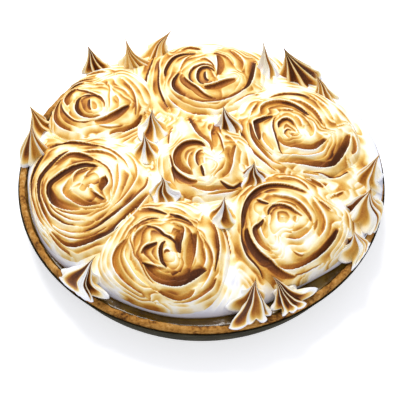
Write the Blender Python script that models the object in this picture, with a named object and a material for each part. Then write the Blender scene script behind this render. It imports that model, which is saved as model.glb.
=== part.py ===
"""Lemon meringue pie in its own tin: crust, curd, a bed of meringue, and on it
seven piped rosettes with small piped kisses between and around them.

Units are metres, +Z is up, and the origin is the middle of the tin's underside.
"""

from math import atan2, cos, hypot, pi, radians, sin, tan

import bmesh
import bpy
from mathutils import Vector

MM = 0.001

# Tin: thin sheet, pressed with a plain sloping wall
TIN_HEIGHT = 25.5 * MM
TIN_RIM_RADIUS = 119.8 * MM
TIN_WALL = 0.8 * MM
TIN_SLOPE = radians(20)
TIN_CORNER = 1.3 * MM

# Crust: lines the tin and rises a little over its rim
CRUST_FLOOR = 4 * MM
CRUST_RISE = 3.1 * MM
CRUST_THICKNESS = 3.8 * MM
CRUST_WAVE = 0.4 * MM

# Filling and meringue
CURD_LEVEL = 25.2 * MM
BED_RADIUS = 106 * MM
BED_WAVE = 2.2 * MM
GAP = 0.3 * MM

# At the back and on the right the bed laps over the crust
LAP_REACH = 9.5 * MM
LAP_MIDDLE = radians(50)
LAP_HALF_WIDTH = radians(80)
LEAST_LAP = 0.5 * MM

# The meringue swells to a low dome: heights above the crust's rim in the
# middle of the pie, of the piped swirls and of the bed that they sit on
DOME_HEIGHT = 27 * MM
BED_HEIGHT = 15.5 * MM
DOME_FALL = 0.001 / MM
PIPED_REACH = 121 * MM

SEGMENTS = 60
WIDE_SEGMENTS = 48
BED_RINGS = 5

# Rosettes: middle x and y, outer radius and turn of the arms in degrees
ROSETTES = {
    "rosette_back_left": (-70.5, 47.5, 38, 20),
    "rosette_back": (4.5, 70, 41, 70),
    "rosette_right": (62, 20, 43, 110),
    "rosette_middle": (2, -9, 31, 160),
    "rosette_left": (-76, -30, 46, 200),
    "rosette_front": (-22, -77, 41, 250),
    "rosette_front_right": (55, -55, 40, 300),
}
ROSETTE_ARMS = 7
ROSETTE_RINGS = 9
ROSETTE_TURN = radians(165)
ROSETTE_TURNS = 2
ROSETTE_BUD = 3 * MM
ROSETTE_DROP = 7 * MM
ROSETTE_RIDGE = 2.2 * MM
ROSETTE_GROOVE = 1.8 * MM

# Kisses: middle x and y, radius, height of the tip above the crust's rim, and
# how far the tip leans in x and y
KISSES = [
    (-107, 35, 12, 26, -8, 0),
    (-111, 11, 14, 36, 4, 0),
    (-78, 87, 12, 27, -1, 1),
    (-49, 88, 17, 37, -4, 0),
    (-28, 104, 14, 27, 9, 0),
    (42, 80, 13, 43, -2, 0),
    (63, 77, 16, 34, -8, 2),
    (84, 63, 13, 26, -9, 1),
    (-32, 18, 11, 39, 1, 2),
    (-36, 0, 10, 38, 0, 0),
    (20, 16, 12, 43, -7, 2),
    (31, -24, 11, 37, 1, 1),
    (14, -50, 11, 37, 0, 1),
    (-24, -36, 10, 39, 0, 1),
    (106, -12, 13, 30, 5, 1),
    (97, -40, 17, 30, 5, 2),
    (92, -66, 16, 28, -4, -1),
    (33, -103, 17, 36, -3, 0),
    (-66, -88, 18, 34, 7, 0),
    (47, -96, 14, 30, -9, -2),
]
KISS_TEETH = 6
KISS_RINGS = 5
KISS_TURN = radians(35)
KISS_TOOTH_DEPTH = 0.2
KISS_PULL = 1.7

RIM_LEVEL = TIN_HEIGHT + CRUST_RISE
PIPED_GAP = 0.5 * MM
LEAST_EDGE = 2 * MM

TIN_METAL = ("tin_metal", (0.16, 0.15, 0.10), 0.45, 1.0)
BAKED_CRUST = ("baked_crust", (0.35, 0.16, 0.05), 0.85, 0.0)
CURD = ("curd", (0.20, 0.11, 0.02), 0.2, 0.0)
SOFT_MERINGUE = ("soft_meringue", (0.86, 0.85, 0.84), 0.5, 0.0)
TOASTED_MERINGUE = ("toasted_meringue", (0.78, 0.58, 0.31), 0.55, 0.0)


def clear_scene():
    for obj in list(bpy.data.objects):
        bpy.data.objects.remove(obj)


def finish_material(finish):
    name, colour, roughness, metallic = finish
    material = bpy.data.materials.get(name)
    if material is None:
        material = bpy.data.materials.new(name)
        material.use_nodes = True
        shader = material.node_tree.nodes["Principled BSDF"]
        shader.inputs["Base Color"].default_value = (*colour, 1)
        shader.inputs["Roughness"].default_value = roughness
        shader.inputs["Metallic"].default_value = metallic
    return material


def add_piece(name, bm, finish, sharp=radians(40)):
    """Weld the mesh, turn its faces outward and put it in the scene."""
    bmesh.ops.remove_doubles(bm, verts=bm.verts[:], dist=0.01 * MM)
    bmesh.ops.recalc_face_normals(bm, faces=bm.faces[:])
    mesh = bpy.data.meshes.new(name)
    bm.to_mesh(mesh)
    bm.free()
    mesh.shade_smooth()
    mesh.set_sharp_from_angle(angle=sharp)
    mesh.materials.append(finish_material(finish))
    piece = bpy.data.objects.new(name, mesh)
    bpy.context.scene.collection.objects.link(piece)
    return piece


def turned_body(profile, segments):
    """A closed body turned round Z from (radius, height) points, which start
    and end on the axis."""
    bm = bmesh.new()
    line = [bm.verts.new((radius, 0, height)) for radius, height in profile]
    edges = [bm.edges.new(pair) for pair in zip(line, line[1:])]
    bmesh.ops.spin(bm, geom=line + edges, cent=(0, 0, 0), axis=(0, 0, 1),
                   angle=2 * pi, steps=segments, use_merge=True)
    return bm


def wave(angle, turns):
    """A smooth uneven wave round the pie, from -1 to 1."""
    total = sum(sin(count * angle + 1.7 * count) / place
                for place, count in enumerate(turns, start=1))
    return total / sum(1 / place for place in range(1, len(turns) + 1))


def wall_radius(height, inset):
    """Radius at a height on the tin's slope, moved inward square to it."""
    return TIN_RIM_RADIUS - (TIN_HEIGHT - height) * tan(TIN_SLOPE) - inset / cos(TIN_SLOPE)


def build_tin():
    floor = TIN_WALL
    profile = [
        (0, 0),
        (wall_radius(0, 0) - TIN_CORNER, 0),
        (wall_radius(TIN_CORNER, 0), TIN_CORNER),
        (wall_radius(TIN_HEIGHT, 0), TIN_HEIGHT),
        (wall_radius(TIN_HEIGHT, TIN_WALL), TIN_HEIGHT),
        (wall_radius(floor + TIN_CORNER, TIN_WALL), floor + TIN_CORNER),
        (wall_radius(floor, TIN_WALL) - TIN_CORNER, floor),
        (0, floor),
    ]
    add_piece("tin", turned_body(profile, SEGMENTS), TIN_METAL)


def build_crust():
    bottom = TIN_WALL + GAP
    outer = TIN_WALL + GAP
    inner = outer + CRUST_THICKNESS
    floor = bottom + CRUST_FLOOR
    widest = wall_radius(TIN_HEIGHT, outer)
    inside = wall_radius(TIN_HEIGHT, inner)
    profile = [
        (0, bottom),
        (wall_radius(bottom, outer) - TIN_CORNER, bottom),
        (wall_radius(bottom + TIN_CORNER, outer), bottom + TIN_CORNER),
        (widest, TIN_HEIGHT),
        (widest, TIN_HEIGHT + 0.45 * CRUST_RISE),
        (widest - 0.8 * MM, TIN_HEIGHT + 0.9 * CRUST_RISE),
        (0.5 * (widest + inside), RIM_LEVEL),
        (inside + 0.9 * MM, TIN_HEIGHT + 0.85 * CRUST_RISE),
        (inside, CURD_LEVEL),
        (wall_radius(floor, inner), floor),
        (0, floor),
    ]
    bm = turned_body(profile, SEGMENTS)
    rise_from = TIN_HEIGHT + 0.3 * CRUST_RISE
    for vert in bm.verts:
        if vert.co.z < rise_from:
            continue
        angle = atan2(vert.co.y, vert.co.x)
        vert.co.z += CRUST_WAVE * wave(angle, (9, 14, 23))
        spread = 1 + CRUST_WAVE / widest * wave(angle, (7, 17, 29))
        vert.co.x *= spread
        vert.co.y *= spread
    add_piece("crust", bm, BAKED_CRUST)


def build_curd():
    inset = TIN_WALL + GAP + CRUST_THICKNESS + GAP
    bottom = TIN_WALL + GAP + CRUST_FLOOR + GAP
    profile = [
        (0, bottom),
        (wall_radius(bottom, inset), bottom),
        (wall_radius(CURD_LEVEL, inset) - 0.2 * MM, CURD_LEVEL - GAP),
        (wall_radius(CURD_LEVEL, inset) - 2 * MM, CURD_LEVEL),
        (0, CURD_LEVEL),
    ]
    add_piece("lemon_curd", turned_body(profile, SEGMENTS), CURD)


def swell(x, y, height):
    """Height of the low dome over a spot, for this height in the middle."""
    return RIM_LEVEL + height - DOME_FALL * (x * x + y * y)


def under_piping(x, y):
    """Where the underside of a piped piece lies: just over the bed, and clear
    of the crust's rim past the bed's edge."""
    return max(swell(x, y, BED_HEIGHT) + PIPED_GAP, RIM_LEVEL + 2 * CRUST_WAVE)


def lap(angle):
    """How far past its own edge the bed laps over the crust at this angle."""
    off = abs((angle - LAP_MIDDLE + pi) % (2 * pi) - pi) / LAP_HALF_WIDTH
    return LEAST_LAP + LAP_REACH * max(1 - off ** 6, 0)


def build_bed():
    bottom = CURD_LEVEL + GAP
    over_crust = RIM_LEVEL + 1.5 * CRUST_WAVE
    shoulder = BED_RADIUS - 4 * MM
    top = [(radius, swell(radius, 0, BED_HEIGHT)) for radius in
           (shoulder * step / BED_RINGS for step in range(BED_RINGS, -1, -1))]
    profile = [
        (0, bottom),
        (BED_RADIUS - 2 * MM, bottom),
        (BED_RADIUS, bottom + 2.5 * MM),
        (BED_RADIUS, over_crust),
        (BED_RADIUS + LEAST_LAP, over_crust),
        (BED_RADIUS + 0.5 * LEAST_LAP, over_crust + 0.8 * MM),
    ] + top
    bm = turned_body(profile, WIDE_SEGMENTS)
    for vert in bm.verts:
        away = hypot(vert.co.x, vert.co.y)
        if away < 0.85 * BED_RADIUS:
            continue
        angle = atan2(vert.co.y, vert.co.x)
        reached = away + BED_WAVE * wave(angle, (3, 5, 8))
        if away > BED_RADIUS + 0.1 * LEAST_LAP:
            reached += lap(angle)
        vert.co.x *= reached / away
        vert.co.y *= reached / away
    add_piece("meringue_bed", bm, SOFT_MERINGUE)


def piped_spots():
    """Every piped piece as (x, y, radius) in metres, rosettes first."""
    spots = [(x * MM, y * MM, radius * MM) for x, y, radius, _ in ROSETTES.values()]
    return spots + [(kiss[0] * MM, kiss[1] * MM, kiss[2] * MM) for kiss in KISSES]


def reach(spot, angle, spots):
    """How far a piped piece goes from its middle before it meets a neighbour,
    half a gap short of the line on which both circles have equal power."""
    x, y, radius = spot
    ahead = Vector((cos(angle), sin(angle)))
    furthest = radius
    for other in spots:
        away = Vector((other[0] - x, other[1] - y))
        apart = away.length
        if apart == 0:
            continue
        toward = ahead.dot(away) / apart
        if toward <= 0:
            continue
        border = (apart ** 2 + radius ** 2 - other[2] ** 2) / (2 * apart) - 0.5 * GAP - 0.05 * MM
        furthest = min(furthest, border / toward)
    across = x * ahead.y - y * ahead.x
    along = x * ahead.x + y * ahead.y
    rim = (PIPED_REACH ** 2 - across ** 2) ** 0.5 - along
    return min(furthest, rim)


def wrapped_grid(spokes, rings, place):
    """A grid wrapped round a middle, where place(spoke, ring) gives each
    point. The first and last rings close to a point."""
    bm = bmesh.new()
    bmesh.ops.create_grid(bm, x_segments=spokes, y_segments=rings, size=1)
    for vert in bm.verts:
        spoke = round((vert.co.x + 1) / 2 * spokes)
        ring = round((vert.co.y + 1) / 2 * rings)
        vert.co = place(spoke % spokes, ring)
    return bm


def build_rosette(name, spot, turn, spots):
    """Arms that wind inward clockwise, with the strand's own spiral groove."""
    x, y, radius = spot
    per_arm = 4
    spokes = ROSETTE_ARMS * per_arm
    lift = (0, 0.45, 1, 0.45)

    def place(spoke, ring):
        below = max(ring - ROSETTE_RINGS, 0)
        share = 1 - (below - 1) / 2 if below else ring / ROSETTE_RINGS
        angle = 2 * pi * spoke / spokes + ROSETTE_TURN * min(ring / ROSETTE_RINGS, 1) + turn
        far = share * reach(spot, angle, spots)
        px = x + far * cos(angle)
        py = y + far * sin(angle)
        underside = under_piping(px, py)
        if below:
            return Vector((px, py, underside))
        outward = far / radius
        height = swell(px, py, DOME_HEIGHT) + ROSETTE_BUD * (1 - outward)
        height -= ROSETTE_DROP * outward ** 2
        grown = min(1, 3 * share)
        height += grown * ROSETTE_RIDGE * (lift[spoke % per_arm] - 0.5)
        height -= grown * ROSETTE_GROOVE * (0.5 + 0.5 * cos(2 * pi * ROSETTE_TURNS * outward + angle))
        return Vector((px, py, max(height, underside + LEAST_EDGE)))

    add_piece(name, wrapped_grid(spokes, ROSETTE_RINGS + 3, place), TOASTED_MERINGUE,
              sharp=radians(60))


def build_kiss(name, kiss, spot, spots):
    """A toothed dollop pulled up to a leaning tip."""
    x, y, radius = spot
    tip = RIM_LEVEL + kiss[3] * MM
    lean = Vector((kiss[4] * MM, kiss[5] * MM))
    spokes = 2 * KISS_TEETH

    def place(spoke, ring):
        share = min(ring / KISS_RINGS, 1) if ring <= KISS_RINGS else 0
        rise = max(1 - ring / KISS_RINGS, 0)
        angle = 2 * pi * spoke / spokes + KISS_TURN * rise
        far = share ** KISS_PULL * reach(spot, angle, spots)
        if spoke % 2:
            far *= 1 - KISS_TOOTH_DEPTH
        px = x + far * cos(angle)
        py = y + far * sin(angle)
        foot = under_piping(px, py)
        return Vector((px + lean.x * rise ** 2, py + lean.y * rise ** 2,
                       foot + (tip - foot) * rise))

    add_piece(name, wrapped_grid(spokes, KISS_RINGS + 1, place), TOASTED_MERINGUE,
              sharp=radians(60))


def main():
    clear_scene()
    build_tin()
    build_crust()
    build_curd()
    build_bed()
    spots = piped_spots()
    for (name, rosette), spot in zip(ROSETTES.items(), spots):
        build_rosette(name, spot, radians(rosette[3]), spots)
    for number, kiss in enumerate(KISSES, start=1):
        spot = spots[len(ROSETTES) + number - 1]
        build_kiss(f"kiss_{number:02d}", kiss, spot, spots)


main()
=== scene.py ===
import math
import bmesh
import bpy
import numpy
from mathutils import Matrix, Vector, noise


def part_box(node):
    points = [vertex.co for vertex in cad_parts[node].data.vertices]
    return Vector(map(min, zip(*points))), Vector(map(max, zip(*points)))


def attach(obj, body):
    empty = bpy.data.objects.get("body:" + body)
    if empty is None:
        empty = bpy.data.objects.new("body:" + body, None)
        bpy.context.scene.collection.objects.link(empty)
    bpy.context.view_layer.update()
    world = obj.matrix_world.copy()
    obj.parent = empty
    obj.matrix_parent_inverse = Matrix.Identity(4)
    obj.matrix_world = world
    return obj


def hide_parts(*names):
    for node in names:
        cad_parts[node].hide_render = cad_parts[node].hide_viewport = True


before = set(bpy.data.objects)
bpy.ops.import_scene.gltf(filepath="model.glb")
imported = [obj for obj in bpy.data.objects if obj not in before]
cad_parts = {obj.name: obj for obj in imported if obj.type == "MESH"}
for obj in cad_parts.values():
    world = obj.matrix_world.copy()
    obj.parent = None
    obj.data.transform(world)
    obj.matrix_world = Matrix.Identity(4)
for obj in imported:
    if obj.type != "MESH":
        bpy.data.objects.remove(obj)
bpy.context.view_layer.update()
print("Frame loaded:", len(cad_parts), "nodes")

mm = 0.001
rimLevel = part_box("crust")[1].z
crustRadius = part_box("crust")[1].x
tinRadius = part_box("tin")[1].x
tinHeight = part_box("tin")[1].z
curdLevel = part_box("lemon_curd")[1].z
domeHeight = 27 * mm     # of the piped swirls over the rim, in the middle
domeFall = 0.001 / mm


def smooth(low, high, value):
    share = min(max((value - low) / (high - low), 0), 1)
    return share * share * (3 - 2 * share)


def mix(first, second, share):
    return first + (second - first) * share


def ripple(x, y, z=0.0):
    return noise.noise(Vector((x, y, z)))


def swell(x, y):
    return rimLevel + domeHeight - domeFall * (x * x + y * y)


def swellUp(x, y):
    return Vector((2 * domeFall * x, 2 * domeFall * y, 1)).normalized()


def middleOf(node):
    low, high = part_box(node)
    return (low + high) / 2


# how far out the meringue goes: up to the crust on the left, short of it in front, and over it at
# the back and on the right
shoreLook = {
    "reach": 105.5 * mm,
    "wave": 1.6 * mm,
    "swells": [(178, 52, 8 * mm), (56, 96, 14 * mm), (247, 44, 3.6 * mm)],
    "start": 94 * mm,
    "limit": 118.3 * mm,
    "crustInside": 114.5 * mm,
}


def swelled(angle, middle, width):
    apart = (math.degrees(angle) - middle + 180) % 360 - 180
    return math.exp(-(apart / width) ** 6)


def shore(angle):
    far = shoreLook["reach"] + shoreLook["wave"] * ripple(math.cos(angle) * 3, math.sin(angle) * 3, 5.5)
    far += max(extra * swelled(angle, middle, width) for middle, width, extra in shoreLook["swells"])
    return min(far, shoreLook["limit"])


def ground(away):
    # what the meringue lies on: the curd, and further out the crust
    inside = shoreLook["crustInside"]
    return mix(curdLevel, rimLevel, smooth(inside - 1 * mm, inside + 1 * mm, away)) + 0.1 * mm


def heldIn(point):
    # keeps meringue inside its shoreline and on top of what it lies on
    away = math.hypot(point.x, point.y)
    start = shoreLook["start"]
    if away > start:
        room = shore(math.atan2(point.y, point.x)) - start
        kept = start + room * math.tanh((away - start) / room)
        point.x *= kept / away
        point.y *= kept / away
        away = kept
    point.z = max(point.z, ground(away))
    return point


def finishPiece(name, bm, material, nodes, sharp=None):
    mesh = bpy.data.meshes.new(name)
    bm.to_mesh(mesh)
    bm.free()
    mesh.shade_smooth()
    if sharp:
        mesh.set_sharp_from_angle(angle=math.radians(sharp))
    mesh.materials.append(material)
    piece = bpy.data.objects.new(name, mesh)
    bpy.context.scene.collection.objects.link(piece)
    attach(piece, "root")
    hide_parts(*nodes)
    return piece


def wrapGrid(around, along, place, layers=("toastAndShade",)):
    # a flat grid wrapped into a closed tube, where place(column, row) gives a point and its values
    bm = bmesh.new()
    bmesh.ops.create_grid(bm, x_segments=around, y_segments=along, size=1)
    stores = [bm.verts.layers.float.new(layer) for layer in layers]
    for vert in bm.verts:
        column = round((vert.co.x + 1) / 2 * around)
        row = round((vert.co.y + 1) / 2 * along)
        vert.co, values = place(column % around, row)
        for store, value in zip(stores, values):
            vert[store] = value
    bmesh.ops.remove_doubles(bm, verts=bm.verts[:], dist=0.002 * mm)
    bmesh.ops.recalc_face_normals(bm, faces=bm.faces[:])
    return bm


def turnProfile(profile, steps):
    # a closed body turned round the middle of the pie from (radius, height) points
    bm = bmesh.new()
    line = [bm.verts.new((radius, 0, height)) for radius, height in profile]
    edges = [bm.edges.new(pair) for pair in zip(line, line[1:])]
    bmesh.ops.spin(bm, geom=line + edges, cent=(0, 0, 0), axis=(0, 0, 1),
                   angle=2 * math.pi, steps=steps, use_merge=True)
    bmesh.ops.remove_doubles(bm, verts=bm.verts[:], dist=0.002 * mm)
    bmesh.ops.recalc_face_normals(bm, faces=bm.faces[:])
    return bm


def newMaterial(name):
    material = bpy.data.materials.new(name)
    material.use_nodes = True
    tree = material.node_tree
    return material, tree, tree.nodes["Principled BSDF"]


def addNode(tree, kind, settings=None, **inputs):
    node = tree.nodes.new(kind)
    for key, value in (settings or {}).items():
        setattr(node, key, value)
    for key, value in inputs.items():
        socket = node.inputs[key.replace("_", " ")]
        if isinstance(value, bpy.types.NodeSocket):
            tree.links.new(value, socket)
        else:
            socket.default_value = value
    return node


def addMath(tree, operation, first, second, clamp=False):
    node = tree.nodes.new("ShaderNodeMath")
    node.operation = operation
    node.use_clamp = clamp
    for socket, value in zip(node.inputs, (first, second)):
        if isinstance(value, bpy.types.NodeSocket):
            tree.links.new(value, socket)
        else:
            socket.default_value = value
    return node.outputs[0]


def addRamp(tree, factor, stops):
    node = tree.nodes.new("ShaderNodeValToRGB")
    ramp = node.color_ramp
    ramp.elements[0].position, ramp.elements[0].color = stops[0][0], (*stops[0][1], 1)
    ramp.elements[1].position, ramp.elements[1].color = stops[-1][0], (*stops[-1][1], 1)
    for position, colour in stops[1:-1]:
        ramp.elements.new(position).color = (*colour, 1)
    tree.links.new(factor, node.inputs["Fac"])
    return node.outputs["Color"]


def objectPoint(tree):
    return tree.nodes.new("ShaderNodeTexCoord").outputs["Object"]


def addNoise(tree, point, scale, detail=2.0, rough=0.5):
    return addNode(tree, "ShaderNodeTexNoise", Vector=point, Scale=scale, Detail=detail,
                   Roughness=rough).outputs["Fac"]


meringueLook = {
    "stops": [    # from painted lilac shade, through plain white meringue, to scorched
        # the first stop is painted shade: lilac-grey where the toast falls to nothing, on the rosettes' skirts, the
        # kisses' feet and the bed's outer slope
        (0.00, (0.76, 0.77, 0.85)),
        (0.04, (0.93, 0.93, 0.925)),
        (0.09, (0.93, 0.90, 0.78)),
        (0.16, (0.91, 0.79, 0.50)),
        (0.26, (0.84, 0.62, 0.25)),
        (0.36, (0.74, 0.46, 0.115)),
        (0.46, (0.63, 0.325, 0.06)),
        (0.57, (0.49, 0.20, 0.03)),
        (0.69, (0.345, 0.115, 0.016)),
        (0.81, (0.205, 0.058, 0.009)),
        (0.91, (0.13, 0.037, 0.007)),
        (1.00, (0.08, 0.023, 0.006)),
    ],
    "roughness": 0.55,
    "grainSize": 1100,
    "cloudSize": 120,
}


def makeMeringue():
    material, tree, shader = newMaterial("toastedMeringueWithPaintedShade")
    point = objectPoint(tree)
    toastAndShade = addNode(tree, "ShaderNodeAttribute", {"attribute_name": "toastAndShade"}).outputs["Fac"]
    grain = addNoise(tree, point, meringueLook["grainSize"], 3.0, 0.6)
    cloud = addNoise(tree, point, meringueLook["cloudSize"])
    speckle = addMath(tree, "MULTIPLY", addMath(tree, "SUBTRACT", grain, 0.5), 0.4)
    patch = addMath(tree, "MULTIPLY", addMath(tree, "SUBTRACT", cloud, 0.5), 0.4)
    change = addMath(tree, "ADD", addMath(tree, "ADD", speckle, patch), 1.0)
    toastAndShadeLevel = addMath(tree, "MULTIPLY", toastAndShade, change, clamp=True)
    colour = addRamp(tree, toastAndShadeLevel, meringueLook["stops"])
    tree.links.new(colour, shader.inputs["Base Color"])
    shader.inputs["Roughness"].default_value = meringueLook["roughness"]
    shader.inputs["Specular IOR Level"].default_value = 0.15
    bump = addNode(tree, "ShaderNodeBump", Height=grain, Strength=0.25, Distance=0.15 * mm)
    tree.links.new(bump.outputs["Normal"], shader.inputs["Normal"])
    return material


meringue = makeMeringue()

tinLook = {
    "wall": 0.8 * mm,
    "slope": 20,
    "corner": 1.3 * mm,
    "steps": 240,
    "stops": [(0.3, (0.014, 0.011, 0.006)), (0.55, (0.03, 0.026, 0.013)), (0.8, (0.06, 0.054, 0.03))],
}


def makeTinMetal():
    material, tree, shader = newMaterial("bakedTin")
    point = objectPoint(tree)
    stain = addNoise(tree, point, 60.0, 4.0, 0.6)
    colour = addRamp(tree, stain, tinLook["stops"])
    tree.links.new(colour, shader.inputs["Base Color"])
    shader.inputs["Specular IOR Level"].default_value = 0.04
    rough = addNode(tree, "ShaderNodeMapRange", Value=addNoise(tree, point, 240.0, 3.0),
                    To_Min=0.55, To_Max=0.75).outputs["Result"]
    tree.links.new(rough, shader.inputs["Roughness"])
    bump = addNode(tree, "ShaderNodeBump", Height=addNoise(tree, point, 900.0, 2.0), Strength=0.2,
                   Distance=0.1 * mm)
    tree.links.new(bump.outputs["Normal"], shader.inputs["Normal"])
    return material


def wallRadius(height, inset=0.0):
    slope = math.radians(tinLook["slope"])
    return tinRadius - (tinHeight - height) * math.tan(slope) - inset / math.cos(slope)


def pressTin():
    wall, corner = tinLook["wall"], tinLook["corner"]
    lip = 0.35 * wall
    profile = [
        (0, 0),
        (wallRadius(0) - 2 * corner, 0),
        (wallRadius(0.2 * corner) - 0.7 * corner, 0.06 * corner),
        (wallRadius(0.5 * corner) - 0.15 * corner, 0.4 * corner),
        (wallRadius(1.3 * corner), 1.3 * corner),
        (wallRadius(tinHeight - lip), tinHeight - lip),
        (wallRadius(tinHeight, 0.2 * wall), tinHeight),
        (wallRadius(tinHeight, 0.8 * wall), tinHeight),
        (wallRadius(tinHeight - lip, wall), tinHeight - lip),
        (wallRadius(wall + 1.3 * corner, wall), wall + 1.3 * corner),
        (wallRadius(wall, wall) - 1.3 * corner, wall),
        (0, wall),
    ]
    bm = turnProfile(profile, tinLook["steps"])
    return finishPiece("pie_tin", bm, makeTinMetal(), ["tin"], sharp=60)


pressTin()
print("Tin pressed")

crustLook = {
    "thickness": 3.8 * mm,
    "floor": 4 * mm,
    "steps": 720,
    "topPoints": 22,
    "chunk": 0.95 * mm,     # uneven hand-pressed edge
    "crumb": 0.5 * mm,
    "grit": 0.2 * mm,
    "stops": [
        (0.36, (0.05, 0.018, 0.004)),
        (0.43, (0.17, 0.065, 0.011)),
        (0.50, (0.35, 0.155, 0.028)),
        (0.58, (0.46, 0.23, 0.055)),
        (0.68, (0.60, 0.38, 0.15)),
    ],
}


def makeCrustCrumb():
    material, tree, shader = newMaterial("bakedCrust")
    point = objectPoint(tree)
    patch = addNoise(tree, point, 75.0, 2.0)
    crumb = addNoise(tree, point, 420.0, 4.0, 0.65)
    grain = addNoise(tree, point, 1500.0, 2.0)
    browned = addMath(tree, "ADD", addMath(tree, "MULTIPLY", patch, 0.45),
                      addMath(tree, "MULTIPLY", crumb, 0.55))
    colour = addRamp(tree, browned, crustLook["stops"])
    tree.links.new(colour, shader.inputs["Base Color"])
    shader.inputs["Roughness"].default_value = 0.85
    shader.inputs["Specular IOR Level"].default_value = 0.12
    height = addMath(tree, "ADD", crumb, addMath(tree, "MULTIPLY", grain, 0.4))
    bump = addNode(tree, "ShaderNodeBump", Height=height, Strength=0.7, Distance=0.5 * mm)
    tree.links.new(bump.outputs["Normal"], shader.inputs["Normal"])
    return material


def bakeCrust():
    gap = 0.3 * mm
    bottom = tinLook["wall"] + gap
    lip = tinHeight
    outer = tinLook["wall"] + gap
    inner = outer + crustLook["thickness"]
    widest = wallRadius(tinHeight, outer)
    inside = wallRadius(tinHeight, inner)
    crown = rimLevel - 0.5 * mm
    floor = bottom + crustLook["floor"]
    points = crustLook["topPoints"]
    profile = [
        (0, bottom),
        (wallRadius(bottom, outer) - 2 * mm, bottom),
        (wallRadius(bottom + 1.5 * mm, outer), bottom + 1.5 * mm),
        (wallRadius(0.6 * lip, outer), 0.6 * lip),
    ]
    middle, half = (widest + inside) / 2, (widest - inside) / 2
    for step in range(points + 1):    # over the top of the edge, squarish
        turn = math.pi * step / points
        side, rise = math.cos(turn), math.sin(turn)
        profile.append((middle + half * math.copysign(abs(side) ** 0.6, side),
                        mix(lip, crown, rise ** 0.55)))
    profile += [
        (inside - 0.2 * mm, curdLevel - 1 * mm),
        (wallRadius(0.6 * lip, inner), 0.6 * lip),
        (wallRadius(floor + 1.5 * mm, inner), floor + 1.5 * mm),
        (wallRadius(floor, inner) - 2 * mm, floor),
        (0, floor),
    ]
    bm = turnProfile(profile, crustLook["steps"])
    bm.normal_update()
    moves = []
    for vert in bm.verts:
        rise = smooth(lip, lip + 1.2 * mm, vert.co.z)
        inward = smooth(curdLevel - 1.5 * mm, curdLevel + 1 * mm, vert.co.z)
        share = rise if math.hypot(vert.co.x, vert.co.y) > middle else inward
        if share == 0:
            continue
        p = vert.co / mm
        push = crustLook["chunk"] * ripple(p.x / 9, p.y / 9, p.z / 9)
        push += crustLook["crumb"] * ripple(p.x / 2.6, p.y / 2.6, p.z / 2.6)
        push += crustLook["grit"] * ripple(p.x / 1.1, p.y / 1.1, p.z / 1.1)
        moves.append((vert, vert.normal * push * share))
    for vert, move in moves:
        vert.co += move
        away = math.hypot(vert.co.x, vert.co.y)
        if away > crustRadius:
            vert.co.x *= crustRadius / away
            vert.co.y *= crustRadius / away
    return finishPiece("pressed_crust", bm, makeCrustCrumb(), ["crust"])


bakeCrust()
print("Crust baked")

curdLook = {
    "steps": 360,
    # the curd's colours are dark amber, well below lemon yellow: its own amber with painted shade from the meringue
    # hanging over the moat
    "stops": [(0.3, (0.06, 0.028, 0.003)), (0.55, (0.125, 0.068, 0.007)), (0.8, (0.21, 0.13, 0.015))],
    "dip": 0.5 * mm,
}


def makeCurd():
    material, tree, shader = newMaterial("lemonCurdWithPaintedShade")
    point = objectPoint(tree)
    cloud = addNoise(tree, point, 90.0, 3.0)
    colour = addRamp(tree, cloud, curdLook["stops"])
    tree.links.new(colour, shader.inputs["Base Color"])
    shader.inputs["Roughness"].default_value = 0.22
    shader.inputs["Specular IOR Level"].default_value = 0.25
    shader.inputs["Coat Weight"].default_value = 0.3
    shader.inputs["Coat Roughness"].default_value = 0.06
    bump = addNode(tree, "ShaderNodeBump", Height=addNoise(tree, point, 320.0, 2.0), Strength=0.5,
                   Distance=0.7 * mm)
    tree.links.new(bump.outputs["Normal"], shader.inputs["Normal"])
    return material


def pourCurd():
    inset = tinLook["wall"] + 0.3 * mm + crustLook["thickness"] + 0.1 * mm
    bottom = tinLook["wall"] + crustLook["floor"] + 0.7 * mm
    edge = wallRadius(curdLevel, inset)
    profile = [(0, bottom), (wallRadius(bottom, inset), bottom), (edge - 0.1 * mm, curdLevel - 0.2 * mm)]
    for step in range(1, 13):    # a shallow moat between the crust and the meringue
        inward = step * 1.1 * mm
        profile.append((edge - inward, curdLevel - curdLook["dip"] * smooth(0, 5 * mm, inward)))
    profile.append((0, curdLevel - curdLook["dip"]))
    bm = turnProfile(profile, curdLook["steps"])
    for vert in bm.verts:
        if vert.co.z > curdLevel - 2 * curdLook["dip"]:
            p = vert.co / mm
            vert.co.z += 0.25 * mm * ripple(p.x / 5, p.y / 5, 3.3)
    return finishPiece("set_curd", bm, makeCurd(), ["lemon_curd"])


pourCurd()
print("Curd poured")

# ridges: each is (tone at its start, tone at its end, width, points), where the points run along
# the crest and the torched groove lies on the right of it, fading over its width in millimetres
ridgeLook = {
    "steps": 7,         # between two points
    "stronger": 1.4,
    "fade": 0.25,
    "scorch": 0.18,     # extra beside the crest
    "depth": 0.3,       # of a groove for its width
    "deepest": 2.8,
    "crest": 0.8,
    "beside": 9,        # how far a ridge draws the faint lines along with it
    "hold": 3.5,
    "echo": 4.4,        # from one faint line to the next
    "echoDepth": 0.7,
    "echoTone": 0.68,
    "wash": 0.06,
    "halo": 0.32,
}


def rippleField(x, y, size, seed):
    flat = [ripple(px / size, py / size, seed) for px, py in zip(x.ravel(), y.ravel())]
    return numpy.array(flat).reshape(x.shape)


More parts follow.
